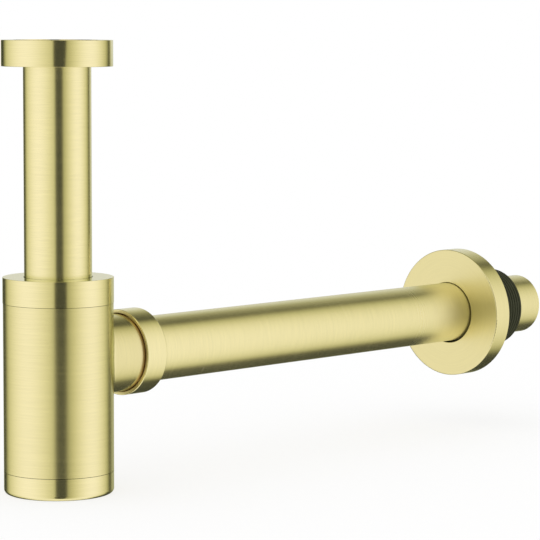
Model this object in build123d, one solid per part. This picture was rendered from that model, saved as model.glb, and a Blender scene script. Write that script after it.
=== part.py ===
from build123d import *
import os

# Bottle trap for a basin, in millimetres.
# The origin is the centre of the coupling nut's top face, +Z is up and +X runs to the wall.

# Tube stock of the inlet tube and the outlet pipe
tube_diameter = 32.0
tube_wall = 1.0

# Clearances
grip_clearance = 0.05
collar_clearance = 0.35
thread_clearance = 0.1
seat_clearance = 0.05
seam_gap = 0.2
edge_break = 0.4
edge_radius = 0.2

# Coupling nut, the collar that it draws up and the gasket
collar_width = 3.2
collar_thickness = 1.2
gasket_thickness = 2.0
nut_thread_clearance = 0.3
nut_thread_length = 6.0
nut_relief_depth = 1.1
nut_web = 3.0
nut_wall = 6.75

# Top cap, its packing and the neck
cap_drop = 111.3
cap_height = 12.2
cap_web = 2.2
cap_wall = 3.25
top_slip_ring_thickness = 1.5
top_seal_width = 4.4
top_seal_height = 6.0
top_seal_toe = 1.35
top_seal_land = 1.0
top_seal_lift = 0.6
neck_lip = 1.5
neck_thread_depth = 0.9

# Bottle shell
water_gap = 8.6
shell_wall = 1.5
shell_length = 79.8
head_thickness = 3.0
outlet_drop = 27.1

# Bottom cup, its thread and its ring seal
cup_depth = 10.5
cup_floor = 2.0
cup_edge_radius = 2.2
cup_upstand_height = 8.0
cup_upstand_wall = 1.2
cup_thread_depth = 0.9
cup_land_height = 2.3
thread_ring_length = 7.0
ring_seal_section = 1.9
ring_seal_lip = 1.1
dip_clearance = 10.0

# Outlet spigot, its nut and its packing
spigot_length = 13.0
spigot_root_fillet = 1.2
spigot_edge_radius = 0.3
spigot_lap = 0.3
outlet_thread_depth = 0.6
outlet_lip = 0.8
outlet_seal_width = 1.35
outlet_seal_length = 5.0
outlet_seal_toe = 0.55
outlet_seal_land = 1.0
outlet_seal_lift = 0.5
outlet_slip_ring_thickness = 1.2
outlet_nut_length = 12.9
outlet_nut_web = 2.2
outlet_nut_wall = 1.9
outlet_nut_skirt = 0.4
outlet_nut_edge_radius = 0.5

# Outlet pipe, wall flange and wall seal
pipe_length = 320.0
pipe_insert = 17.7
pipe_edge_break = 0.3
flange_diameter = 69.3
flange_thickness = 10.9
flange_plate = 2.0
flange_rim = 2.0
flange_edge_radius = 0.6
flange_hole_clearance = 0.7
flange_sag = 0.43
flange_to_pipe_end = 51.0
wall_seal_wall = 5.05
wall_seal_setback = 2.9
wall_seal_nose_wall = 2.6
wall_seal_nose_gap = 1.5
rib_count = 13
rib_pitch = 2.0
rib_crest = 1.1
rib_depth = 0.8

# Radii worked outwards from the tube
tube_radius = tube_diameter / 2
bore_radius = tube_radius - tube_wall
grip_radius = tube_radius + grip_clearance
passage_radius = tube_radius + collar_clearance
collar_radius = tube_radius + collar_width
nut_thread_radius = collar_radius + nut_thread_clearance
nut_radius = nut_thread_radius + nut_wall
shell_bore_radius = tube_radius + water_gap
shell_radius = shell_bore_radius + shell_wall
top_seal_radius = grip_radius + top_seal_width
neck_mouth_radius = top_seal_radius + seat_clearance
neck_root_radius = neck_mouth_radius + neck_lip
cap_bore_radius = neck_root_radius + neck_thread_depth + thread_clearance
cap_radius = cap_bore_radius + cap_wall
outlet_seal_radius = grip_radius + outlet_seal_width
spigot_mouth_radius = outlet_seal_radius + seat_clearance
spigot_root_radius = spigot_mouth_radius + outlet_lip
spigot_radius = spigot_root_radius + outlet_thread_depth
outlet_nut_bore_radius = spigot_radius + thread_clearance
outlet_nut_radius = outlet_nut_bore_radius + outlet_nut_wall

# Radii worked inwards from the shell, for the cup
ring_seat_radius = shell_radius - ring_seal_lip
cup_land_radius = ring_seat_radius - ring_seal_section - 2 * seat_clearance
cup_root_radius = cup_land_radius - cup_thread_depth
cup_bore_radius = cup_root_radius - cup_upstand_wall
thread_ring_radius = cup_land_radius + thread_clearance

# Heights worked down from the nut's top face
gasket_top = -nut_thread_length - seat_clearance
collar_top = gasket_top - gasket_thickness
nut_web_top = collar_top - collar_thickness - seat_clearance
nut_bottom = nut_web_top - nut_web
cap_top = -cap_drop
cap_ceiling = cap_top - cap_web
cap_bottom = cap_top - cap_height
top_ring_top = cap_ceiling - seat_clearance
top_seal_top = top_ring_top - top_slip_ring_thickness - seat_clearance
top_seal_bottom = top_seal_top - top_seal_height
neck_top = top_seal_top - top_seal_lift
seat_floor = top_seal_bottom - seat_clearance
shell_top = cap_bottom - seam_gap
shell_bottom = shell_top - shell_length
shell_ceiling = shell_top - head_thickness
ring_seat_top = shell_bottom + ring_seal_section + seat_clearance
thread_ring_top = ring_seat_top + thread_ring_length
cup_rim = shell_bottom - seam_gap
cup_bottom = cup_rim - cup_depth
cup_floor_top = cup_bottom + cup_floor
cup_top = cup_rim + cup_upstand_height
dip_end = cup_floor_top + dip_clearance
outlet_height = shell_top - outlet_drop

# Distances along the outlet, from the bottle's axis
spigot_shoulder = shell_radius + spigot_length
outlet_nut_start = spigot_shoulder - spigot_lap
outlet_nut_end = outlet_nut_start + outlet_nut_length
outlet_nut_face = outlet_nut_end - outlet_nut_web
outlet_ring_end = outlet_nut_face - seat_clearance
outlet_seal_end = outlet_ring_end - outlet_slip_ring_thickness - seat_clearance
outlet_seal_start = outlet_seal_end - outlet_seal_length
spigot_end = outlet_seal_end - outlet_seal_lift
pipe_start = spigot_end - pipe_insert
pipe_end = pipe_start + pipe_length
flange_back = pipe_end - flange_to_pipe_end
flange_front = flange_back - flange_thickness
flange_plate_back = flange_front + flange_plate
wall_seal_start = flange_back + wall_seal_setback


def turned(corners):
    """A solid turned about Z from its half section, given as (radius, height) corners."""
    section = make_face(Polyline(*corners, close=True))
    return revolve(Plane.XZ * section, Axis.Z)


def edges_at(solid, radius, height):
    """The round edges of a turned solid at one radius and height."""
    round_edges = solid.edges().filter_by(GeomType.CIRCLE)
    return round_edges.filter_by(
        lambda edge: abs(edge.radius - radius) < 1e-4 and abs(edge.arc_center.Z - height) < 1e-4
    )


def along_outlet(solid):
    """Lays a solid that was turned about Z along the outlet's axis, with +Z going to +X."""
    return Pos(0, 0, outlet_height) * Rot(0, 90, 0) * solid


def broken_edges(solid, places, size=edge_break):
    """Breaks the named round edges, given as (radius, height) places, with a small chamfer."""
    for radius, height in places:
        solid = chamfer(edges_at(solid, radius, height), size)
    return solid


def rounded_edges(solid, places, size=edge_radius):
    """Rounds the named round edges, given as (radius, height) places."""
    for radius, height in places:
        solid = fillet(edges_at(solid, radius, height), size)
    return solid


def make_coupling_nut():
    """Round nut: thread bore, relief groove and the web that lifts the tube's collar."""
    relief_radius = nut_thread_radius + nut_relief_depth
    hole_radius = tube_radius + collar_clearance
    nut = turned(
        [
            (nut_thread_radius, 0),
            (nut_radius, 0),
            (nut_radius, nut_bottom),
            (hole_radius, nut_bottom),
            (hole_radius, nut_web_top),
            (relief_radius, nut_web_top),
            (relief_radius, -nut_thread_length),
            (nut_thread_radius, -nut_thread_length),
        ]
    )
    return rounded_edges(nut, [(nut_radius, 0), (nut_radius, nut_bottom)])


def make_coupling_gasket():
    """Flat washer on the tube's collar."""
    return turned(
        [
            (bore_radius, gasket_top),
            (collar_radius, gasket_top),
            (collar_radius, collar_top),
            (bore_radius, collar_top),
        ]
    )


def make_inlet_tube():
    """Tube with a turned-out collar at the top; the lower end dips into the bottle's water."""
    collar_bottom = collar_top - collar_thickness
    return turned(
        [
            (bore_radius, collar_top),
            (collar_radius, collar_top),
            (collar_radius, collar_bottom),
            (tube_radius, collar_bottom),
            (tube_radius, dip_end),
            (bore_radius, dip_end),
        ]
    )


def make_top_cap():
    """Screwed cap: a web round the tube and a skirt over the neck's thread."""
    cap = turned(
        [
            (passage_radius, cap_top),
            (cap_radius, cap_top),
            (cap_radius, cap_bottom),
            (cap_bore_radius, cap_bottom),
            (cap_bore_radius, cap_ceiling),
            (passage_radius, cap_ceiling),
        ]
    )
    return rounded_edges(cap, [(cap_radius, cap_top)])


def make_top_slip_ring():
    """Flat ring that lets the cap turn without dragging the seal."""
    ring_bottom = top_ring_top - top_slip_ring_thickness
    return turned(
        [
            (passage_radius, top_ring_top),
            (top_seal_radius, top_ring_top),
            (top_seal_radius, ring_bottom),
            (passage_radius, ring_bottom),
        ]
    )


def make_top_seal():
    """Wedge ring round the inlet tube, pressed into the neck's cone."""
    return turned(
        [
            (grip_radius, top_seal_top),
            (top_seal_radius, top_seal_top),
            (top_seal_radius, top_seal_top - top_seal_land),
            (grip_radius + top_seal_toe, top_seal_bottom),
            (grip_radius, top_seal_bottom),
        ]
    )


def make_bottle_body():
    """Bottle shell with its neck and lower thread ring, and the outlet spigot on its side."""
    seat_toe_radius = grip_radius + top_seal_toe + seat_clearance
    ring_blend = shell_bore_radius - thread_ring_radius
    shell = turned(
        [
            (shell_radius, shell_top),
            (shell_radius, shell_bottom),
            (ring_seat_radius, shell_bottom),
            (ring_seat_radius, ring_seat_top),
            (thread_ring_radius, ring_seat_top),
            (thread_ring_radius, thread_ring_top),
            (shell_bore_radius, thread_ring_top + ring_blend),
            (shell_bore_radius, shell_ceiling),
            (passage_radius, shell_ceiling),
            (passage_radius, seat_floor),
            (seat_toe_radius, seat_floor),
            (neck_mouth_radius, top_seal_top - top_seal_land),
            (neck_mouth_radius, neck_top),
            (neck_root_radius, neck_top),
            (neck_root_radius, shell_top),
        ]
    )
    shell = broken_edges(shell, [(neck_root_radius, neck_top)])
    spigot = along_outlet(make_spigot())
    spigot_foot = Pos(0, 0, outlet_height) * Cylinder(shell_bore_radius, 4 * spigot_radius)
    body = shell + (spigot - spigot_foot)
    root = body.edges().filter_by(
        lambda edge: edge.geom_type != GeomType.CIRCLE
        and edge.center().X > 0
        and abs(edge.position_at(0.5).X ** 2 + edge.position_at(0.5).Y ** 2 - shell_radius**2) < 1e-3
    )
    body = fillet(root, spigot_root_fillet)
    return body - along_outlet(Pos(0, 0, spigot_end / 2) * Cylinder(passage_radius, spigot_end))


def make_spigot():
    """The spigot's stub, turned about Z from the bottle's axis: plain part, thread root and conical seat."""
    seat_toe_radius = grip_radius + outlet_seal_toe + seat_clearance
    seat_end = outlet_seal_start - seat_clearance
    stub = turned(
        [
            (0, 0),
            (spigot_radius, 0),
            (spigot_radius, spigot_shoulder),
            (spigot_root_radius, spigot_shoulder),
            (spigot_root_radius, spigot_end),
            (spigot_mouth_radius, spigot_end),
            (spigot_mouth_radius, outlet_seal_end - outlet_seal_land),
            (seat_toe_radius, seat_end),
            (0, seat_end),
        ]
    )
    return rounded_edges(stub, [(spigot_radius, spigot_shoulder)], spigot_edge_radius)


def make_bottom_cup():
    """Cleaning cup: floor, outer wall and the threaded upstand inside the shell."""
    land_top = cup_rim + cup_land_height
    cup = turned(
        [
            (0, cup_bottom),
            (shell_radius, cup_bottom),
            (shell_radius, cup_rim),
            (cup_land_radius, cup_rim),
            (cup_land_radius, land_top),
            (cup_root_radius, land_top),
            (cup_root_radius, cup_top),
            (cup_bore_radius, cup_top),
            (cup_bore_radius, cup_floor_top),
            (0, cup_floor_top),
        ]
    )
    cup = rounded_edges(cup, [(shell_radius, cup_bottom)], cup_edge_radius)
    return broken_edges(cup, [(cup_root_radius, cup_top)])


def make_cup_oring():
    """Round-section ring between the cup's land and the shell's lip."""
    section_radius = ring_seal_section / 2
    centre_radius = (cup_land_radius + ring_seat_radius) / 2
    centre_height = cup_rim + seat_clearance + section_radius
    return Pos(0, 0, centre_height) * Torus(centre_radius, section_radius)


def make_outlet_nut():
    """Round nut: skirt mouth, thread bore and the web round the pipe."""
    skirt_radius = outlet_nut_bore_radius + outlet_nut_skirt
    skirt_end = outlet_nut_start + outlet_nut_skirt
    nut = turned(
        [
            (skirt_radius, outlet_nut_start),
            (outlet_nut_radius, outlet_nut_start),
            (outlet_nut_radius, outlet_nut_end),
            (passage_radius, outlet_nut_end),
            (passage_radius, outlet_nut_face),
            (outlet_nut_bore_radius, outlet_nut_face),
            (outlet_nut_bore_radius, skirt_end),
        ]
    )
    rims = [(outlet_nut_radius, outlet_nut_start), (outlet_nut_radius, outlet_nut_end)]
    return along_outlet(rounded_edges(nut, rims, outlet_nut_edge_radius))


def make_outlet_slip_ring():
    """Flat ring that lets the outlet nut turn without dragging the seal."""
    ring_start = outlet_ring_end - outlet_slip_ring_thickness
    ring = turned(
        [
            (passage_radius, ring_start),
            (outlet_seal_radius, ring_start),
            (outlet_seal_radius, outlet_ring_end),
            (passage_radius, outlet_ring_end),
        ]
    )
    return along_outlet(ring)


def make_outlet_seal():
    """Wedge ring round the outlet pipe, pressed into the spigot's cone."""
    seal = turned(
        [
            (grip_radius, outlet_seal_end),
            (outlet_seal_radius, outlet_seal_end),
            (outlet_seal_radius, outlet_seal_end - outlet_seal_land),
            (grip_radius + outlet_seal_toe, outlet_seal_start),
            (grip_radius, outlet_seal_start),
        ]
    )
    return along_outlet(seal)


def make_outlet_pipe():
    """Plain tube from inside the spigot to past the wall."""
    pipe = turned(
        [
            (bore_radius, pipe_start),
            (tube_radius, pipe_start),
            (tube_radius, pipe_end),
            (bore_radius, pipe_end),
        ]
    )
    pipe = broken_edges(pipe, [(tube_radius, pipe_end)], pipe_edge_break)
    return along_outlet(pipe)


def make_wall_flange():
    """Cover rosette, hollow at the back, hanging loose on the pipe."""
    flange_radius = flange_diameter / 2
    hole_radius = tube_radius + flange_hole_clearance
    rim_radius = flange_radius - flange_rim
    flange = turned(
        [
            (hole_radius, flange_front),
            (flange_radius, flange_front),
            (flange_radius, flange_back),
            (rim_radius, flange_back),
            (rim_radius, flange_plate_back),
            (hole_radius, flange_plate_back),
        ]
    )
    flange = rounded_edges(flange, [(flange_radius, flange_front)], flange_edge_radius)
    flange = rounded_edges(flange, [(hole_radius, flange_front)])
    return Pos(0, 0, -flange_sag) * along_outlet(flange)


def make_wall_seal():
    """Rubber sleeve: a plain nose inside the flange, then flat-topped ribs with V grooves between them."""
    crest_radius = grip_radius + wall_seal_wall
    groove_radius = crest_radius - rib_depth
    nose_radius = grip_radius + wall_seal_nose_wall
    nose_start = flange_plate_back + wall_seal_nose_gap
    outline = [
        (grip_radius, nose_start),
        (nose_radius, nose_start),
        (nose_radius, wall_seal_start),
    ]
    for rib in range(rib_count):
        rib_start = wall_seal_start + rib * rib_pitch
        outline.append((crest_radius, rib_start))
        outline.append((crest_radius, rib_start + rib_crest))
        if rib < rib_count - 1:
            outline.append((groove_radius, rib_start + (rib_pitch + rib_crest) / 2))
    sleeve_end = wall_seal_start + (rib_count - 1) * rib_pitch + rib_crest
    outline.append((grip_radius, sleeve_end))
    return along_outlet(turned(outline))


pieces = {
    "coupling_nut": make_coupling_nut(),
    "coupling_gasket": make_coupling_gasket(),
    "inlet_tube": make_inlet_tube(),
    "top_cap": make_top_cap(),
    "top_slip_ring": make_top_slip_ring(),
    "top_seal": make_top_seal(),
    "bottle_body": make_bottle_body(),
    "bottom_cup": make_bottom_cup(),
    "cup_oring": make_cup_oring(),
    "outlet_nut": make_outlet_nut(),
    "outlet_slip_ring": make_outlet_slip_ring(),
    "outlet_seal": make_outlet_seal(),
    "outlet_pipe": make_outlet_pipe(),
    "wall_flange": make_wall_flange(),
    "wall_seal": make_wall_seal(),
}

os.makedirs("parts", exist_ok=True)
for name, solid in pieces.items():
    export_step(solid, f"parts/{name}.step")
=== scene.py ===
"""Looks of a brushed brass bottle trap for a basin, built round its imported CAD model.

The CAD pieces keep their meshes and get turned-metal, rubber and nylon finishes. The coupling
nut is replaced by one with a cut thread, and the outside threads of the neck, the cup and the
spigot are added.
"""

import logging
import math
from dataclasses import dataclass
from enum import Enum
from typing import Any, Optional, Union

import bpy
import numpy as np
from mathutils import Matrix, Vector

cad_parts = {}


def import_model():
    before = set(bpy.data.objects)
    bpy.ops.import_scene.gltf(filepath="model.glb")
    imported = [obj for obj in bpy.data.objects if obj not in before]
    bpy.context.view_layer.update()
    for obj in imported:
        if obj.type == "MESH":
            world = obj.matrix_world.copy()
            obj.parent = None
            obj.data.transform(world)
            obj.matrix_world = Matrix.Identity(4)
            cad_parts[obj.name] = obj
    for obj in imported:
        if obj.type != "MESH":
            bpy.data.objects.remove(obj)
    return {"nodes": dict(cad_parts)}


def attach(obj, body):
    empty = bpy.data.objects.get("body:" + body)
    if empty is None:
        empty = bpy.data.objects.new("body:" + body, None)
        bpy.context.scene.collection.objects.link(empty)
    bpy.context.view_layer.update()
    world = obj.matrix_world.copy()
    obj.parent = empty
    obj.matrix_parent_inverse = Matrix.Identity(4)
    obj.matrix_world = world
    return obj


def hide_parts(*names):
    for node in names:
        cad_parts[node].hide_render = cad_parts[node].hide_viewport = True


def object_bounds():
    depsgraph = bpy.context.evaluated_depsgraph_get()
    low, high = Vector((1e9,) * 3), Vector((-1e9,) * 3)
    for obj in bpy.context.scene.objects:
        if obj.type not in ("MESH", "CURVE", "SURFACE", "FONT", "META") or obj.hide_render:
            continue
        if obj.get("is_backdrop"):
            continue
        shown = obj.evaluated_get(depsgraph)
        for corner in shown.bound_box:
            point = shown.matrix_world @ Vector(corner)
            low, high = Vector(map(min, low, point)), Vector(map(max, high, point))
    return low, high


LOG = logging.getLogger("bottle_trap")
MM = 0.001
TURN = 2.0 * math.pi
HALF_TURN_DEGREES = 180.0
NOISE_MEAN = 0.5
OUTLET_HEIGHT = -150.8 * MM
FLANGE_HEIGHT = -151.23 * MM

Colour = tuple[float, float, float, float]
Pair = tuple[float, float]
Number = Union["Socket", float]

WHITE: Colour = (1.0, 1.0, 1.0, 1.0)


class Socket:
    """A shader socket that takes part in Python arithmetic by adding Math nodes."""

    def __init__(self, graph: "ShaderGraph", socket: bpy.types.NodeSocket) -> None:
        """Keeps the socket with the graph that it belongs to."""
        self.graph = graph
        self.socket = socket

    def __add__(self, other: Number) -> "Socket":
        """Sum of the two values."""
        return self.graph.math("ADD", self, other)

    def __radd__(self, other: Number) -> "Socket":
        """Sum of the two values, number first."""
        return self.graph.math("ADD", other, self)

    def __sub__(self, other: Number) -> "Socket":
        """Difference of the two values."""
        return self.graph.math("SUBTRACT", self, other)

    def __rsub__(self, other: Number) -> "Socket":
        """Difference of the two values, number first."""
        return self.graph.math("SUBTRACT", other, self)

    def __mul__(self, other: Number) -> "Socket":
        """Product of the two values."""
        return self.graph.math("MULTIPLY", self, other)

    def __rmul__(self, other: Number) -> "Socket":
        """Product of the two values, number first."""
        return self.graph.math("MULTIPLY", other, self)

    def __truediv__(self, other: Number) -> "Socket":
        """Quotient of the two values."""
        return self.graph.math("DIVIDE", self, other)

    def __rtruediv__(self, other: Number) -> "Socket":
        """Quotient of the two values, number first."""
        return self.graph.math("DIVIDE", other, self)

    def __abs__(self) -> "Socket":
        """The value without its sign."""
        return self.graph.math("ABSOLUTE", self)

    def root(self) -> "Socket":
        """Square root of the value."""
        return self.graph.math("SQRT", self)

    def cosine(self) -> "Socket":
        """Cosine of the value, in radians."""
        return self.graph.math("COSINE", self)

    def at_least(self, other: Number) -> "Socket":
        """The larger of the two values."""
        return self.graph.math("MAXIMUM", self, other)

    def step(self, low: float, high: float) -> "Socket":
        """Rises smoothly from 0 at low to 1 at high, or falls where low is the larger."""
        if low > high:
            return 1.0 - self.step(high, low)
        settings = {"interpolation_type": "SMOOTHSTEP"}
        return self.graph.add("ShaderNodeMapRange", settings, {0: self, 1: low, 2: high})


class ShaderGraph:
    """The node tree of a material or a world, filled from Python expressions."""

    # Numbers of the Mix node's colour sockets, which share their names with others of the node.
    MIX_FIRST = 6
    MIX_SECOND = 7
    MIX_RESULT = 2

    def __init__(self, tree: bpy.types.NodeTree) -> None:
        """Empties the tree."""
        self.tree = tree
        tree.nodes.clear()

    def add(
        self,
        kind: str,
        settings: Optional[dict[str, Any]] = None,
        inputs: Optional[dict[Union[str, int], Any]] = None,
        output: Union[str, int] = 0,
    ) -> Socket:
        """Adds one node of any type.

        Args:
            kind: The node's type name.
            settings: Properties of the node, set before its sockets.
            inputs: Values or sockets for the node's inputs, by name or number.
            output: The output to hand back, by name or number.

        Returns:
            That output, or the first input of a node that has no output.
        """
        node = self.tree.nodes.new(kind)
        for name, value in (settings or {}).items():
            setattr(node, name, value)
        for key, value in (inputs or {}).items():
            if isinstance(value, Socket):
                self.tree.links.new(value.socket, node.inputs[key])
            else:
                node.inputs[key].default_value = value
        return Socket(self, node.outputs[output] if len(node.outputs) else node.inputs[0])

    def math(self, operation: str, *values: Number) -> Socket:
        """A Math node of that operation on up to three values."""
        return self.add("ShaderNodeMath", {"operation": operation}, dict(enumerate(values)))

    def vector(self, x: Number, y: Number, z: Number) -> Socket:
        """A vector put together from three values."""
        return self.add("ShaderNodeCombineXYZ", None, {0: x, 1: y, 2: z})

    def parts(self, vector: Socket) -> tuple[Socket, Socket, Socket]:
        """The three values of a vector."""
        split = self.add("ShaderNodeSeparateXYZ", None, {0: vector})
        x, y, z = (Socket(self, end) for end in split.socket.node.outputs)
        return x, y, z

    def place(self) -> Socket:
        """The point on the piece, in the shared frame."""
        return self.add("ShaderNodeTexCoord", None, None, "Object")

    def noise(self, vector: Socket, scale: float, detail: float = 2.0) -> Socket:
        """Smooth noise around one half, over cells of 1 / scale."""
        inputs = {"Vector": vector, "Scale": scale, "Detail": detail}
        return self.add("ShaderNodeTexNoise", None, inputs)

    def blend(self, share: Number, first: Any, second: Any) -> Socket:
        """A colour between two, by a share from 0 to 1."""
        settings = {"data_type": "RGBA", "clamp_factor": True}
        inputs = {0: share, self.MIX_FIRST: first, self.MIX_SECOND: second}
        return self.add("ShaderNodeMix", settings, inputs, self.MIX_RESULT)

    def bump(self, height: Socket, depth: float, strength: float = 1.0) -> Socket:
        """A normal tilted by a height from 0 to 1 that stands for a depth in metres."""
        inputs = {"Strength": strength, "Distance": depth, "Height": height}
        return self.add("ShaderNodeBump", None, inputs)

    def glow(self, colour: Any) -> Socket:
        """A plain glow of strength 1."""
        return self.add("ShaderNodeEmission", None, {"Color": colour, "Strength": 1.0})

    def surface(self, inputs: dict[str, Any]) -> None:
        """Ends the tree in a principled surface with those inputs."""
        self.finish(self.add("ShaderNodeBsdfPrincipled", None, inputs))

    def finish(self, shader: Socket, kind: str = "ShaderNodeOutputMaterial") -> None:
        """Links the shader to the tree's output."""
        self.add(kind, None, {"Surface": shader})


def new_material(name: str) -> tuple[bpy.types.Material, ShaderGraph]:
    """A new material by that name and its empty graph."""
    material = bpy.data.materials.new(name)
    material.use_nodes = True
    return material, ShaderGraph(material.node_tree)


def scaled(colour: Colour, share: float) -> Colour:
    """The colour, lighter or darker by a share."""
    return (colour[0] * share, colour[1] * share, colour[2] * share, 1.0)


class TurningAxis(Enum):
    """The axis that a piece was turned on, as (upright, height of a level axis in metres)."""

    BOTTLE = (True, 0.0)
    OUTLET = (False, OUTLET_HEIGHT)
    FLANGE = (False, FLANGE_HEIGHT)


@dataclass(frozen=True)
class BrushLines:
    """One set of brush lines.

    Args:
        width: Width of a line along the profile, in metres.
        arc: How many times the pattern changes over a radian round the axis.
        share: Share of these lines in the whole pattern.
    """

    width: float
    arc: float
    share: float


@dataclass(frozen=True)
class BrushedBrass:
    """Pale brass with fine lines round the axis that the piece was turned on; lengths in metres.

    Args:
        name: Name of the material.
        axis: The axis that the lines run round.
        roughness: Mean roughness of the polish.
        line_depth: Depth of the brush lines.
        side_outlet: Whether the piece also has a spigot turned on the outlet's axis.
        crease_shaded: Whether the piece has painted shade in the crease between the spigot and its
            nut.
        dull: Share of the dull colour all over the piece.
        end_dull: Share of it added on the spigot, or on the end face inside the rim.
        end_roughness: Roughness added there.
        end_depth: How far behind the rim the end face's finish is full, and is gone.
        rub: A stretch along the axis that is rubbed, as where it starts, is full and ends.
        rub_roughness: Roughness added on that stretch.
        rub_stop: Length over which the rubbing fades past its end.
        spigot_from: Distance from the bottle's axis where the spigot's own lines start.
        spigot_blend: Length over which they take over.
        crease: The crease's distance along the outlet and its radius.
        crease_shade_reach: How far the painted shade spreads from the crease.
        rim: An outer edge that can be polished, as distance along the piece's axis and radius.
        rim_reach: How far that polish goes from the edge.
        rim_core: Share of that reach where the polish is full.
        rim_polish: Share of the roughness that is polished away there.
        colour: Colour of the clean metal.
        dull_colour: Colour of metal that has lost its polish.
        crease_shade_colour: Colour of the painted shade deep in the crease.
        edge_tint: Tint of the reflection at grazing angles.
        fine: The fine brush lines.
        broad: The broad brush lines.
        face_feed: Travel of the tool over a face, where the travel along the axis is 1.
        cloud_scale: Scale of the cloudy marks of handling.
        cloud_detail: Detail of those marks.
        cloud_share: Share of them in the shade of the metal.
        line_range: Noise values of the darkest and the lightest lines.
        cloud_range: Noise values of the darkest and the lightest marks.
        shades: Darkest and lightest colour, as shares of the clean metal's.
        line_roughness: Spread of the roughness by the lines.
        cloud_roughness: Spread of the roughness by the marks.
    """

    name: str
    axis: TurningAxis
    roughness: float
    line_depth: float = 3.0e-6
    side_outlet: bool = False
    crease_shaded: bool = False
    dull: float = 0.0
    end_dull: float = 0.0
    end_roughness: float = 0.0
    end_depth: Pair = (0.1 * MM, 0.5 * MM)
    rub: Optional[tuple[float, float, float]] = None
    rub_roughness: float = 0.0
    rub_stop: float = 5.0 * MM
    spigot_from: float = 26.6 * MM
    spigot_blend: float = 1.0 * MM
    crease: Pair = (38.8 * MM, 18.9 * MM)
    crease_shade_reach: float = 3.0 * MM
    rim: Optional[Pair] = None
    rim_reach: float = 0.7 * MM
    rim_core: float = 0.6
    rim_polish: float = 0.6
    colour: Colour = (0.94, 0.865, 0.56, 1.0)
    dull_colour: Colour = (0.62, 0.55, 0.25, 1.0)
    crease_shade_colour: Colour = (0.5, 0.33, 0.21, 1.0)
    edge_tint: Colour = (0.84, 0.89, 0.83, 1.0)
    fine: BrushLines = BrushLines(width=0.3 * MM, arc=1.7, share=0.6)
    broad: BrushLines = BrushLines(width=0.85 * MM, arc=1.0, share=0.4)
    face_feed: float = 1.37
    cloud_scale: float = 38.0
    cloud_detail: float = 3.0
    cloud_share: float = 0.15
    line_range: Pair = (0.25, 0.75)
    cloud_range: Pair = (0.3, 0.7)
    shades: Pair = (0.95, 1.03)
    line_roughness: float = 0.1
    cloud_roughness: float = 0.05

    def lathe(self, graph: ShaderGraph, axis: TurningAxis) -> tuple[Socket, Socket, Socket, Socket]:
        """Works out the place on the lathe.

        Args:
            graph: The graph to add to.
            axis: The axis of the lathe.

        Returns:
            Distance along the axis, radius of at least a millimetre, cosine and sine of the angle.
        """
        upright, height = axis.value
        x, y, z = graph.parts(graph.place())
        along, across, over = (z, x, y) if upright else (x, y, z - height)
        radius = (across * across + over * over).root().at_least(MM)
        return along, radius, across / radius, over / radius

    def lines(self, graph: ShaderGraph, axis: TurningAxis, brush: BrushLines) -> Socket:
        """Draws noise out round the axis.

        The noise is read at (travel of the tool / width, arc * cosine, arc * sine), so that it
        changes over the width of a line along the profile and over a radian / arc round the axis.

        Args:
            graph: The graph to add to.
            axis: The axis that the lines run round.
            brush: The set of lines.

        Returns:
            The noise.
        """
        along, radius, cosine, sine = self.lathe(graph, axis)
        travel = (along + radius * self.face_feed) / brush.width
        return graph.noise(graph.vector(travel, cosine * brush.arc, sine * brush.arc), 1.0)

    def pattern(self, graph: ShaderGraph, brush: BrushLines) -> Socket:
        """The lines of the piece, with the spigot's own lines where it has one."""
        main = self.lines(graph, self.axis, brush)
        if not self.side_outlet:
            return main
        return main + (self.lines(graph, TurningAxis.OUTLET, brush) - main) * self.spigot(graph)

    def spigot(self, graph: ShaderGraph) -> Socket:
        """One on the spigot and nought on the bottle."""
        _, radius, _, _ = self.lathe(graph, TurningAxis.BOTTLE)
        return radius.step(self.spigot_from, self.spigot_from + self.spigot_blend)

    def distance(self, graph: ShaderGraph, axis: TurningAxis, ring: Pair) -> Socket:
        """Distance from a ring, given as (along, radius), measured in the axis's half section."""
        along, radius, _, _ = self.lathe(graph, axis)
        off, over = along - ring[0], radius - ring[1]
        return (off * off + over * over).root()

    def end(self, graph: ShaderGraph) -> Number:
        """One on the spigot or on the end face inside the rim, and nought elsewhere."""
        if self.side_outlet:
            return self.spigot(graph)
        if self.rim is None:
            return 0.0
        along, _, _, _ = self.lathe(graph, self.axis)
        full, gone = (self.rim[0] + depth for depth in self.end_depth)
        return along.step(gone, full)

    def rubbed(self, graph: ShaderGraph, rub: tuple[float, float, float]) -> Socket:
        """One on the rubbed stretch: it comes on slowly from its start and stops at its end."""
        along, _, _, _ = self.lathe(graph, self.axis)
        start, full, end = rub
        return along.step(start, full) * along.step(end + self.rub_stop, end)

    def tone(self, graph: ShaderGraph, lines: Socket, cloud: Socket) -> Socket:
        """Works out the colour.

        Args:
            graph: The graph to add to.
            lines: The brush lines.
            cloud: The marks of handling.

        Returns:
            Lighter and darker lines, with the dull colour over them and painted shade in the
            crease.
        """
        lined = lines.step(*self.line_range) * (1.0 - self.cloud_share)
        shade = lined + cloud.step(*self.cloud_range) * self.cloud_share
        dark, light = (scaled(self.colour, share) for share in self.shades)
        colour = graph.blend(shade, dark, light)
        dull = self.end(graph) * self.end_dull + self.dull
        colour = graph.blend(dull, colour, self.dull_colour)
        # Painted shade: the colour darkens towards a brown in the crease between the spigot and its
        # nut, where the nut's lip hides the light.
        if self.crease_shaded:
            away = self.distance(graph, TurningAxis.OUTLET, self.crease)
            colour = graph.blend(away.step(self.crease_shade_reach, 0.0), colour, self.crease_shade_colour)
        return colour

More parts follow.
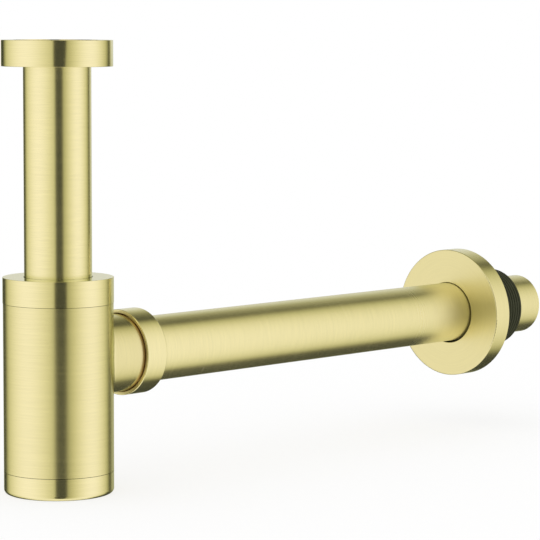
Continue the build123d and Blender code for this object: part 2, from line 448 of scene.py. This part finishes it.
    def unevenness(self, graph: ShaderGraph, lines: Socket, cloud: Socket) -> Socket:
        """Works out the roughness.

        Args:
            graph: The graph to add to.
            lines: The brush lines.
            cloud: The marks of handling.

        Returns:
            Roughness by lines and marks, with more on the end and where rubbed, less on the rim.
        """
        base = self.end(graph) * self.end_roughness + self.roughness
        if self.rub is not None:
            base = self.rubbed(graph, self.rub) * self.rub_roughness + base
        by_lines = (lines - NOISE_MEAN) * self.line_roughness
        by_marks = (cloud - NOISE_MEAN) * self.cloud_roughness
        roughness = base + by_lines + by_marks
        if self.rim is not None:
            away = self.distance(graph, self.axis, self.rim)
            polish = away.step(self.rim_reach, self.rim_core * self.rim_reach)
            roughness = roughness * (1.0 - polish * self.rim_polish)
        return roughness

    def build(self) -> bpy.types.Material:
        """Makes the material.

        Returns:
            Metal whose lines vary the colour, the roughness and the height, with faint marks.
        """
        material, graph = new_material(self.name)
        fine = self.pattern(graph, self.fine)
        broad = self.pattern(graph, self.broad)
        cloud = graph.noise(graph.place(), self.cloud_scale, self.cloud_detail)
        lines = fine * self.fine.share + broad * self.broad.share
        graph.surface(
            {
                "Base Color": self.tone(graph, lines, cloud),
                "Metallic": 1.0,
                "Roughness": self.unevenness(graph, lines, cloud),
                "Specular Tint": self.edge_tint,
                "Normal": graph.bump(fine + broad, self.line_depth),
            }
        )
        return material


@dataclass(frozen=True)
class MouldedRubber:
    """Matt black rubber with a fine moulded grain, paler on the crests of its ribs.

    Args:
        name: Name of the material.
        groove_radius: Radius about the outlet's axis where the ribs' grooves end, in metres.
        crest_radius: Radius of the ribs' crests, in metres; none for a piece without ribs.
        colour: Colour of the clean rubber.
        bloom: Colour of the pale bloom on it.
        patch_scale: Scale of the patches of bloom.
        patch_detail: Detail of the patches.
        patch_range: Noise values where a patch begins and where it is full.
        patch_share: Bloom in a full patch.
        patch_roughness: Spread of the roughness by the patches.
        grain_scale: Scale of the grain.
        grain_range: Noise values where bloom on the grain begins and where it is full.
        grain_share: Bloom on the grain.
        grain_roughness: Spread of the roughness by the grain.
        grain_depth: Depth of the grain, in metres.
        grain_strength: Strength of the grain's bump.
        crest_share: Bloom added on the crests.
        roughness: Mean roughness.
        gloss: Level of the surface's reflection, where a usual plastic's is one half.
    """

    name: str
    groove_radius: float = 0.0
    crest_radius: Optional[float] = None
    colour: Colour = (0.024, 0.027, 0.012, 1.0)
    bloom: Colour = (0.046, 0.050, 0.026, 1.0)
    patch_scale: float = 160.0
    patch_detail: float = 4.0
    patch_range: Pair = (0.35, 0.75)
    patch_share: float = 0.45
    patch_roughness: float = 0.2
    grain_scale: float = 5200.0
    grain_range: Pair = (0.4, 0.8)
    grain_share: float = 0.2
    grain_roughness: float = 0.1
    grain_depth: float = 2.0e-5
    grain_strength: float = 0.6
    crest_share: float = 0.35
    roughness: float = 0.5
    gloss: float = 0.2

    def build(self) -> bpy.types.Material:
        """Makes the material, with bloom in patches and on the crests."""
        material, graph = new_material(self.name)
        place = graph.place()
        grain = graph.noise(place, self.grain_scale)
        patches = graph.noise(place, self.patch_scale, self.patch_detail)
        patched = patches.step(*self.patch_range) * self.patch_share
        pale = patched + grain.step(*self.grain_range) * self.grain_share
        if self.crest_radius is not None:
            _, y, z = graph.parts(place)
            level = z - OUTLET_HEIGHT
            radius = (y * y + level * level).root()
            pale = pale + radius.step(self.groove_radius, self.crest_radius) * self.crest_share
        by_patches = (patches - NOISE_MEAN) * self.patch_roughness
        by_grain = (grain - NOISE_MEAN) * self.grain_roughness
        graph.surface(
            {
                "Base Color": graph.blend(pale, self.colour, self.bloom),
                "Roughness": self.roughness + by_patches + by_grain,
                "Normal": graph.bump(grain, self.grain_depth, self.grain_strength),
                "Specular IOR Level": self.gloss,
            }
        )
        return material


@dataclass(frozen=True)
class MilkyNylon:
    """Milky white nylon with faint flow marks.

    Args:
        name: Name of the material.
        colour: Colour of the clear nylon.
        darkest: Colour of the darkest flow marks, as a share of it.
        flow_scale: Scale of the flow marks.
        flow_detail: Detail of the flow marks.
        flow_range: Noise values of the darkest marks and of the clear nylon.
        flow_roughness: Spread of the roughness by the flow marks.
        grain_scale: Scale of the moulded surface's grain.
        grain_detail: Detail of the grain.
        grain_depth: Depth of the grain, in metres.
        grain_strength: Strength of the grain's bump.
        roughness: Mean roughness.
    """

    name: str
    colour: Colour = (0.74, 0.72, 0.66, 1.0)
    darkest: float = 0.9
    flow_scale: float = 220.0
    flow_detail: float = 4.0
    flow_range: Pair = (0.3, 0.7)
    flow_roughness: float = 0.15
    grain_scale: float = 3000.0
    grain_detail: float = 1.0
    grain_depth: float = 1.0e-5
    grain_strength: float = 0.4
    roughness: float = 0.38

    def build(self) -> bpy.types.Material:
        """Makes the material, with cloudy colour and a smooth moulded surface."""
        material, graph = new_material(self.name)
        flow = graph.noise(graph.place(), self.flow_scale, self.flow_detail)
        grain = graph.noise(graph.place(), self.grain_scale, self.grain_detail)
        dark = scaled(self.colour, self.darkest)
        graph.surface(
            {
                "Base Color": graph.blend(flow.step(*self.flow_range), dark, self.colour),
                "Roughness": self.roughness + (flow - NOISE_MEAN) * self.flow_roughness,
                "Normal": graph.bump(grain, self.grain_depth, self.grain_strength),
            }
        )
        return material


def grid_faces(rows: int, columns: int, close_rows: bool) -> np.ndarray:
    """Quads of a grid whose columns close on themselves.

    Args:
        rows: Number of rows.
        columns: Number of points in a row.
        close_rows: Whether the last row also joins the first.

    Returns:
        Four point numbers for each quad.
    """
    row = np.arange(rows if close_rows else rows - 1)[:, None]
    column = np.arange(columns)[None, :]
    next_row, next_column = (row + 1) % rows, (column + 1) % columns
    corners = [
        row * columns + column,
        row * columns + next_column,
        next_row * columns + next_column,
        next_row * columns + column,
    ]
    return np.stack(corners, axis=-1).reshape(-1, 4)


def lay_grid(
    name: str,
    points: np.ndarray,
    close_rows: bool,
    sharp_rows: Optional[np.ndarray] = None,
    sharp_columns: Optional[np.ndarray] = None,
) -> bpy.types.Object:
    """Makes a closed object from a grid of points, with its faces outwards.

    The signed volume is the sum of the triple products of each quad's two triangles; where it is
    negative the faces are turned round. Open ends of the rows are closed by one face each.

    Args:
        name: Name of the piece.
        points: Points in metres, as (rows, columns, 3).
        close_rows: Whether the last row joins the first; otherwise the end rows are capped.
        sharp_rows: Rows whose edges stay sharp.
        sharp_columns: Columns whose edges stay sharp.

    Returns:
        The object, smooth apart from its sharp edges.
    """
    rows, columns = points.shape[:2]
    flat = points.reshape(-1, 3)
    quads = grid_faces(rows, columns, close_rows)
    a, b, c, d = (flat[quads[:, corner]] for corner in range(4))
    volume = np.sum(a * np.cross(b, c)) + np.sum(a * np.cross(c, d))
    faces = quads.tolist()
    if not close_rows:
        faces.append(np.arange(columns)[::-1].tolist())
        faces.append((np.arange(columns) + (rows - 1) * columns).tolist())
    if volume < 0:
        faces = [face[::-1] for face in faces]
    mesh = bpy.data.meshes.new(name)
    mesh.from_pydata(flat.tolist(), [], faces)
    mesh.polygons.foreach_set("use_smooth", np.ones(len(mesh.polygons), dtype=bool))
    ends = np.empty(len(mesh.edges) * 2, dtype=np.int32)
    mesh.edges.foreach_get("vertices", ends)
    row, column = np.divmod(ends.reshape(-1, 2), columns)
    sharp = np.zeros(len(mesh.edges), dtype=bool)
    if sharp_rows is not None:
        sharp |= (row[:, 0] == row[:, 1]) & np.isin(row[:, 0], sharp_rows)
    if sharp_columns is not None:
        sharp |= (column[:, 0] == column[:, 1]) & np.isin(column[:, 0], sharp_columns)
    mesh.attributes.new("sharp_edge", "BOOLEAN", "EDGE").data.foreach_set("value", sharp)
    mesh.update()
    piece = bpy.data.objects.new(name, mesh)
    bpy.context.scene.collection.objects.link(piece)
    return piece


def dress(node: bpy.types.Object, material: bpy.types.Material) -> None:
    """Gives every material slot of a piece the same finish."""
    if not node.data.materials:
        node.data.materials.append(material)
    for index in range(len(node.data.materials)):
        node.data.materials[index] = material
    LOG.info("%s: %s", node.name, material.name)


@dataclass(frozen=True)
class ScrewThread:
    """An outside thread: one ridge wound on a plain neck, with run-outs at both ends.

    Args:
        name: Name of the piece.
        body: The CAD body that it moves with.
        axis: The axis that it is wound on.
        root: Radius of the neck in millimetres.
        crest: Radius over the thread in millimetres.
        pitch: Travel of one turn in millimetres.
        start: Lower end of the ridge's middle line along the axis, in millimetres.
        end: Upper end of that line, in millimetres.
        sink: How deep the ridge's foot is sunk into the neck, in millimetres.
        flank: Angle of the flanks to the radius, in degrees.
        crest_share: Half the crest's width, as a share of the pitch.
        foot_share: Largest half width of the foot, as a share of the pitch.
        run_out: Length of a run-out in turns.
        least: Size of the section at the ridge's tips, as a share of the full one.
        steps_per_turn: Sections in one turn.
    """

    name: str
    body: str
    axis: TurningAxis
    root: float
    crest: float
    pitch: float
    start: float
    end: float
    sink: float = 0.06
    flank: float = 30.0
    crest_share: float = 0.07
    foot_share: float = 0.49
    run_out: float = 0.4
    least: float = 0.03
    steps_per_turn: int = 96

    def points(self) -> np.ndarray:
        """Works out the ridge.

        The middle line is a right-hand helix: angle u, distance start + pitch * u / turn. Round it
        goes a section with a sunk foot, two sloping flanks and a narrow crest. Near both ends the
        section shrinks by a smooth step of u, which gives the run-outs.

        Returns:
            Points in metres, as (steps, section points, 3).
        """
        turns = (self.end - self.start) / self.pitch
        u = np.linspace(0.0, turns * TURN, int(turns * self.steps_per_turn) + 1)
        share = np.clip(np.minimum(u, u[-1] - u) / (self.run_out * TURN), 0.0, 1.0)
        size = self.least + (1.0 - self.least) * share**2 * (3.0 - 2.0 * share)
        depth = self.crest - self.root
        crest_half = self.crest_share * self.pitch
        spread = (depth + self.sink) * math.tan(math.radians(self.flank))
        foot_half = min(crest_half + spread, self.foot_share * self.pitch)
        shift = np.array([-foot_half, -crest_half, crest_half, foot_half])
        lift = np.array([-self.sink, depth, depth, -self.sink])
        radius = self.root - self.sink + (lift + self.sink)[None, :] * size[:, None]
        along = self.start + (self.pitch * u / TURN)[:, None] + shift[None, :] * size[:, None]
        first, second = radius * np.cos(u)[:, None], radius * np.sin(u)[:, None]
        upright, height = self.axis.value
        ordered = [first, second, along] if upright else [along, first, second + height / MM]
        return np.stack(ordered, axis=-1) * MM

    def build(self, material: bpy.types.Material) -> bpy.types.Object:
        """Makes the ridge, dresses it and lets it ride on its body."""
        points = self.points()
        ridge = lay_grid(self.name, points, False, sharp_columns=np.arange(points.shape[1]))
        dress(ridge, material)
        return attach(ridge, self.body)


@dataclass(frozen=True)
class CouplingSet:
    """The coupling nut, the inlet tube that it draws up and the gasket; lengths in millimetres.

    Args:
        nodes: The CAD pieces by name.
        thread_radius: Radius of the nut's bore, inside its thread.
        thread_length: Length of the thread from the nut's top face.
        thread_depth: Depth of the thread.
        thread_pitch: Travel of one turn.
        relief_radius: Radius of the plain bore below the thread.
        web_top: Height of the web's upper face.
        bottom: Height of the nut's lower face.
        hole_radius: Radius of the tube's hole in the web.
        nut_radius: Outer radius of the nut.
        edge_radius: Radius of its rounded outer edges.
        edge_steps: Points on a rounded edge.
        thread_rows: Rows of points along the thread.
        columns: Points round the axis.
        polish: The nut's finish.
        tube_finish: The tube's finish.
    """

    nodes: dict[str, bpy.types.Object]
    thread_radius: float = 19.5
    thread_length: float = 6.0
    thread_depth: float = 1.05
    thread_pitch: float = 2.309
    relief_radius: float = 20.6
    web_top: float = -9.3
    bottom: float = -12.3
    hole_radius: float = 16.35
    nut_radius: float = 26.25
    edge_radius: float = 0.2
    edge_steps: int = 5
    thread_rows: int = 79
    columns: int = 240
    polish: BrushedBrass = BrushedBrass(
        "polished_brass", TurningAxis.BOTTLE, roughness=0.13, line_depth=1.0e-6
    )
    tube_finish: BrushedBrass = BrushedBrass(
        "brushed_tube_brass", TurningAxis.BOTTLE, roughness=0.2
    )

    def nut_points(self) -> tuple[np.ndarray, np.ndarray]:
        """Works out the nut as a closed profile carried once round the axis.

        In the thread the radius is the bore's plus
        depth * (1 - cos(turn * (z / pitch - angle / turn))) / 2, a rounded right-hand groove;
        elsewhere the profile is the same at every angle. The outer edges are quarter circles,
        walked by the bend from 0 to a quarter turn.

        Returns:
            Points in metres, as (profile rows, columns, 3), and the rows that are corners.
        """
        angle = np.linspace(0.0, TURN, self.columns, endpoint=False)
        z_thread = np.linspace(0.0, -self.thread_length, self.thread_rows)
        phase = z_thread[:, None] / self.thread_pitch - angle[None, :] / TURN
        groove = (1.0 - np.cos(TURN * phase)) / 2.0
        r_thread = self.thread_radius + self.thread_depth * groove
        corners = np.array(
            [
                (self.relief_radius, -self.thread_length),
                (self.relief_radius, self.web_top),
                (self.hole_radius, self.web_top),
                (self.hole_radius, self.bottom),
            ]
        )
        bend = np.linspace(0.0, TURN / 4.0, self.edge_steps)
        out = self.nut_radius - self.edge_radius * (1.0 - np.sin(bend))
        lift = self.edge_radius * (1.0 - np.cos(bend))
        lower = np.stack([out, self.bottom + lift], axis=-1)
        upper = np.stack([out, -lift], axis=-1)[::-1]
        plain = np.vstack([corners, lower, upper])
        radius = np.vstack([r_thread, np.repeat(plain[:, :1], self.columns, axis=1)])
        height = np.concatenate([z_thread, plain[:, 1]])
        level = np.repeat(height[:, None], self.columns, axis=1)
        points = np.stack([radius * np.cos(angle), radius * np.sin(angle), level], axis=-1)
        edges = np.arange(len(corners)) + self.thread_rows
        last = len(height) - 1
        sharp = np.concatenate([[0, self.thread_rows - 1], edges, edges[-1:] + 1, [last]])
        return points * MM, sharp

    def build(self, rubber: bpy.types.Material) -> None:
        """Makes the threaded nut in place of the plain one and dresses the tube and the gasket."""
        points, sharp = self.nut_points()
        nut = lay_grid("threaded_coupling_nut", points, True, sharp_rows=sharp)
        dress(nut, self.polish.build())
        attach(nut, "coupling")
        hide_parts("coupling_nut")
        dress(self.nodes["inlet_tube"], self.tube_finish.build())
        dress(self.nodes["coupling_gasket"], rubber)


@dataclass(frozen=True)
class Bottle:
    """The bottle with its cap, cup, seals and threads.

    Args:
        nodes: The CAD pieces by name.
        finish: Finish of the cap, the cup and the threads.
        body_finish: Finish of the bottle's body.
        neck_thread: Thread under the cap.
        cup_thread: Thread of the cup.
    """

    nodes: dict[str, bpy.types.Object]
    finish: BrushedBrass = BrushedBrass(
        "brushed_bottle_brass", TurningAxis.BOTTLE, roughness=0.155
    )
    body_finish: BrushedBrass = BrushedBrass(
        "brushed_body_brass",
        TurningAxis.BOTTLE,
        roughness=0.22,
        side_outlet=True,
        # Painted shade in the crease between the spigot and the outlet nut.
        crease_shaded=True,
        dull=0.08,
        end_dull=0.21,
    )
    neck_thread: ScrewThread = ScrewThread(
        "neck_thread",
        "bottle",
        TurningAxis.BOTTLE,
        root=22.0,
        crest=22.88,
        pitch=1.5,
        start=-122.6,
        end=-116.6,
    )
    cup_thread: ScrewThread = ScrewThread(
        "cup_thread",
        "cup",
        TurningAxis.BOTTLE,
        root=22.1,
        crest=22.98,
        pitch=1.5,
        start=-200.6,
        end=-196.6,
    )

    def build(self, rubber: bpy.types.Material, nylon: bpy.types.Material) -> None:
        """Dresses the cap, body and cup, adds their threads and dresses the packing."""
        brass = self.finish.build()
        dress(self.nodes["top_cap"], brass)
        dress(self.nodes["bottom_cup"], brass)
        dress(self.nodes["bottle_body"], self.body_finish.build())
        self.neck_thread.build(brass)
        self.cup_thread.build(brass)
        dress(self.nodes["top_seal"], rubber)
        dress(self.nodes["cup_oring"], rubber)
        dress(self.nodes["top_slip_ring"], nylon)


@dataclass(frozen=True)
class Outlet:
    """The spigot's thread, the outlet nut, the pipe and their packing.

    Args:
        nodes: The CAD pieces by name.
        nut_finish: Finish of the outlet nut.
        finish: Finish of the pipe and the thread.
        spigot_thread: Thread under the outlet nut.
    """

    nodes: dict[str, bpy.types.Object]
    nut_finish: BrushedBrass = BrushedBrass(
        "brushed_outlet_nut_brass",
        TurningAxis.OUTLET,
        roughness=0.18,
        line_depth=2.0e-6,
        end_roughness=0.26,
        rim=(38.8 * MM, 20.85 * MM),
    )
    finish: BrushedBrass = BrushedBrass(
        "brushed_outlet_brass",
        TurningAxis.OUTLET,
        roughness=0.25,
        line_depth=2.4e-6,
        rub=(238.0 * MM, 282.0 * MM, 305.0 * MM),
        rub_roughness=0.15,
    )
    spigot_thread: ScrewThread = ScrewThread(
        "spigot_thread",
        "bottle",
        TurningAxis.OUTLET,
        root=18.25,
        crest=18.83,
        pitch=1.0,
        start=39.9,
        end=47.1,
    )

    def build(self, rubber: bpy.types.Material, nylon: bpy.types.Material) -> None:
        """Dresses the nut and the pipe, adds the thread and dresses the packing."""
        brass = self.finish.build()
        dress(self.nodes["outlet_nut"], self.nut_finish.build())
        dress(self.nodes["outlet_pipe"], brass)
        self.spigot_thread.build(brass)
        dress(self.nodes["outlet_seal"], rubber)
        dress(self.nodes["outlet_slip_ring"], nylon)


@dataclass(frozen=True)
class WallSet:
    """The wall flange and the ribbed wall seal behind it.

    Args:
        nodes: The CAD pieces by name.
        flange_finish: Finish of the flange.
        seal_finish: Finish of the seal.
    """

    nodes: dict[str, bpy.types.Object]
    flange_finish: BrushedBrass = BrushedBrass(
        "brushed_flange_brass",
        TurningAxis.FLANGE,
        roughness=0.18,
        end_dull=0.22,
        end_roughness=0.13,
        rim_polish=0.0,
        rim=(288.1 * MM, 34.65 * MM),
    )
    seal_finish: MouldedRubber = MouldedRubber(
        "ribbed_rubber", groove_radius=20.35 * MM, crest_radius=21.05 * MM
    )

    def build(self) -> None:
        """Dresses the flange and the seal."""
        dress(self.nodes["wall_flange"], self.flange_finish.build())
        dress(self.nodes["wall_seal"], self.seal_finish.build())


@dataclass(frozen=True)
class SoftPanel:
    """A bright panel of the tent; angles in degrees.

    Args:
        middle: Azimuth of its brightest line.
        span: Azimuths over which its brightness would swell and sink to its base.
        start: Azimuth of its left end.
        start_soft: Softness of that end, to both sides.
        stop: Azimuth of its right end.
        stop_soft: Softness of that end, to both sides.
        lean: Shift of both ends for each degree of rise.
        base: Brightness without the swell.
        swell: Brightness added in the middle.
    """

    middle: float
    span: float
    start: float
    start_soft: float
    stop: float
    stop_soft: float
    lean: float = 0.0
    base: float = 0.37
    swell: float = 0.63

    def brightness(self, azimuth: Socket, rise: Socket) -> Socket:
        """Works out base + swell * cos(half turn * (azimuth - middle) / span), cut at both ends.

        Args:
            azimuth: Azimuth of the direction.
            rise: Rise of the direction over the level.

        Returns:
            The panel's brightness in that direction.
        """
        leaning = azimuth - rise * self.lean
        left = leaning.step(self.start - self.start_soft, self.start + self.start_soft)
        right = leaning.step(self.stop + self.stop_soft, self.stop - self.stop_soft)
        wave = ((azimuth - self.middle) * (math.pi / self.span)).cosine()
        return (wave * self.swell + self.base) * (left * right)


@dataclass(frozen=True)
class LightTent:
    """A round tent of cloth with two soft panels, seen only in the metal's reflections.

    Angles are in degrees. Azimuths are counted from the direction towards the camera, to its
    right, and rises from the level. A brightness of 1 is white.

    Args:
        facing: Direction towards the camera, from the x axis.
        radius: Radius of the tent in metres.
        surround: Brightness of the bare walls.
        left: The panel at the camera's left.
        right: The panel at the camera's right.
        opening_middle: Azimuth of the bright opening behind.
        opening_sides: Azimuths to both sides of it where it is gone and where it is full.
        opening_top: Rises where it is gone and where it is full.
        opening_bottom: The same rises at its lower end.
        opening_glow: Brightness of the opening.
        wall_rise: Rise and drop where the walls end.
        wall_fade: Angle over which they pass into the ceiling and the underside.
        ceiling: Brightness of the ceiling.
        underside: Brightness below.
        green: Share of green in the light.
        green_dark: Green added everywhere.
        blue: Share of blue in dim light.
        blue_dark: Blue added everywhere.
        blue_bright: Share of blue added by the square of the brightness.
        blue_opening: Share of blue added in the opening.
        pole: Latitude of the top row, in half turns.
        rows: Rows of points.
        columns: Points in a row.
    """

    facing: float = -129.5
    radius: float = 4.0
    surround: float = 0.065
    left: SoftPanel = SoftPanel(
        middle=-72.0, span=160.0, start=-141.0, start_soft=14.0, stop=-9.8, stop_soft=2.5
    )
    right: SoftPanel = SoftPanel(
        middle=70.0, span=114.0, start=15.2, start_soft=2.5, stop=127.0, stop_soft=14.0, lean=0.11
    )
    opening_middle: float = 165.0
    opening_sides: Pair = (38.0, 18.0)
    opening_top: Pair = (52.0, 12.0)
    opening_bottom: Pair = (-34.0, 6.0)
    opening_glow: float = 0.85
    wall_rise: float = 50.0
    wall_fade: float = 12.0
    ceiling: float = 0.44
    underside: float = 0.9
    green: float = 0.965
    green_dark: float = 0.004
    blue: float = 0.4
    blue_dark: float = 0.022
    blue_bright: float = 0.435
    blue_opening: float = 0.2
    pole: float = 0.499
    rows: int = 24
    columns: int = 48

    def points(self) -> np.ndarray:
        """A sphere about the origin: latitude by rows, short of the poles, longitude by columns."""
        top = self.pole * math.pi
        latitude = np.linspace(-top, top, self.rows)[:, None]
        longitude = np.linspace(0.0, TURN, self.columns, endpoint=False)[None, :]
        x = np.cos(latitude) * np.cos(longitude)
        y = np.cos(latitude) * np.sin(longitude)
        z = np.repeat(np.sin(latitude), self.columns, axis=1)
        return np.stack([x, y, z], axis=-1) * self.radius

    def direction(self, graph: ShaderGraph) -> tuple[Socket, Socket]:
        """Azimuth and rise of a point on the cloth."""
        x, y, z = graph.parts(graph.place())
        turn = math.radians(self.facing)
        ahead = x * math.cos(turn) + y * math.sin(turn)
        aside = y * math.cos(turn) - x * math.sin(turn)
        degrees = HALF_TURN_DEGREES / math.pi
        azimuth = graph.math("ARCTAN2", aside, ahead) * degrees
        rise = graph.math("ARCTAN2", z, (x * x + y * y).root()) * degrees
        return azimuth, rise

    def opening(self, graph: ShaderGraph, azimuth: Socket, rise: Socket) -> Socket:
        """One in the opening behind and nought elsewhere, with soft edges."""
        off = azimuth - self.opening_middle
        turned = graph.math("WRAP", off, HALF_TURN_DEGREES, -HALF_TURN_DEGREES)
        window = rise.step(*self.opening_top) * rise.step(*self.opening_bottom)
        return abs(turned).step(*self.opening_sides) * window

    def colour(self, graph: ShaderGraph) -> Socket:
        """Colour of the cloth: near white where it is bright and yellower where it is dim."""
        azimuth, rise = self.direction(graph)
        left = self.left.brightness(azimuth, rise)
        right = self.right.brightness(azimuth, rise)
        opening = self.opening(graph, azimuth, rise)
        walls = left.at_least(right).at_least(self.surround)
        walls = walls.at_least(opening * self.opening_glow)
        above = rise.step(self.wall_rise, self.wall_rise + self.wall_fade)
        below = rise.step(-self.wall_rise, -self.wall_rise - self.wall_fade)
        glow = walls + (self.ceiling - walls) * above + (self.underside - walls) * below
        green = glow * self.green + self.green_dark
        blue = self.blue + glow * glow * self.blue_bright + opening * self.blue_opening
        return graph.vector(glow, green, glow * blue + self.blue_dark)

    def build(self) -> bpy.types.Object:
        """Makes the tent and its glowing cloth."""
        material, graph = new_material("tent_cloth")
        graph.finish(graph.glow(self.colour(graph)))
        material.cycles.emission_sampling = "NONE"
        tent = lay_grid("light_tent", self.points(), False)
        tent.data.materials.append(material)
        for ray in ("camera", "diffuse", "shadow", "transmission", "volume_scatter"):
            setattr(tent, f"visible_{ray}", False)
        tent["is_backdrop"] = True
        return tent


@dataclass(frozen=True)
class Studio:
    """White floor and world, the light tent and the camera at the photograph's viewpoint.

    Args:
        floor_height: Height of the floor in metres.
        floor_half: Half the width of the floor in metres.
        floor_glow: Share of the floor's white that is its own.
        lens: Focal length of the camera in millimetres.
        sensor: Width of its sensor in millimetres.
        position: Place of the camera in metres.
        yaw: Direction of its view from the x axis, in degrees.
        pitch: Angle by which it looks down, in degrees.
        roll: Turn of the camera about its view, in degrees.
        clip_end: Farthest distance that it sees, in metres.
        tent: The light tent.
    """

    floor_height: float
    floor_half: float = 30.0
    floor_glow: float = 0.7
    lens: float = 175.904
    sensor: float = 36.0
    position: tuple[float, float, float] = (-0.83101, -0.92429, 0.01117)
    yaw: float = 43.43
    pitch: float = 5.489
    roll: float = 0.159
    clip_end: float = 200.0
    tent: LightTent = LightTent()

    def lay_floor(self) -> None:
        """A wide white plane: most of its white is its own, so that its shadow stays soft."""
        half = self.floor_half
        corners = [(-half, -half), (half, -half), (half, half), (-half, half)]
        mesh = bpy.data.meshes.new("floor")
        mesh.from_pydata([(x, y, self.floor_height) for x, y in corners], [], [(0, 1, 2, 3)])
        material, graph = new_material("white_floor")
        diffuse = graph.add("ShaderNodeBsdfDiffuse", None, {"Color": WHITE})
        layers = {0: self.floor_glow, 1: diffuse, 2: graph.glow(WHITE)}
        graph.finish(graph.add("ShaderNodeMixShader", None, layers))
        material.cycles.emission_sampling = "NONE"
        mesh.materials.append(material)
        floor = bpy.data.objects.new("floor", mesh)
        bpy.context.scene.collection.objects.link(floor)
        floor.visible_glossy = False
        floor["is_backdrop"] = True

    def light(self) -> None:
        """A white world of strength 1, at which a colour renders about as it is written."""
        scene = bpy.context.scene
        world = bpy.data.worlds.new("white_room")
        world.use_nodes = True
        graph = ShaderGraph(world.node_tree)
        sky = graph.add("ShaderNodeBackground", None, {"Color": WHITE, "Strength": 1.0})
        graph.finish(sky, "ShaderNodeOutputWorld")
        scene.world = world
        scene.view_settings.view_transform = "Standard"

    def aim(self) -> None:
        """Sets the camera by its yaw, pitch and roll."""
        yaw, pitch, roll = (math.radians(angle) for angle in (self.yaw, self.pitch, self.roll))
        level = Vector((math.cos(yaw), math.sin(yaw), 0.0))
        ahead = level * math.cos(pitch) - Vector((0.0, 0.0, math.sin(pitch)))
        right = Vector((math.sin(yaw), -math.cos(yaw), 0.0))
        up = right.cross(ahead)
        side = right * math.cos(roll) + up * math.sin(roll)
        top = up * math.cos(roll) - right * math.sin(roll)
        data = bpy.data.cameras.new("camera")
        data.lens = self.lens
        data.sensor_width = self.sensor
        data.clip_end = self.clip_end
        camera = bpy.data.objects.new("camera", data)
        turn = Matrix((side, top, -ahead)).transposed().to_4x4()
        camera.matrix_world = Matrix.Translation(self.position) @ turn
        bpy.context.scene.collection.objects.link(camera)
        bpy.context.scene.camera = camera

    def build(self) -> None:
        """Lays the floor, lights the room, hangs the tent and aims the camera."""
        self.lay_floor()
        self.light()
        self.tent.build()
        self.aim()


def main() -> None:
    """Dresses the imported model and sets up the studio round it."""
    logging.basicConfig(level=logging.INFO, format="%(name)s: %(message)s")
    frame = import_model()
    cad_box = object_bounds()
    nodes = frame["nodes"]
    rubber = MouldedRubber("seal_rubber").build()
    nylon = MilkyNylon("milky_nylon").build()
    CouplingSet(nodes).build(rubber)
    Bottle(nodes).build(rubber, nylon)
    Outlet(nodes).build(rubber, nylon)
    WallSet(nodes).build()
    Studio(floor_height=cad_box[0].z).build()
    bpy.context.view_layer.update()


if __name__ == "__main__":
    main()
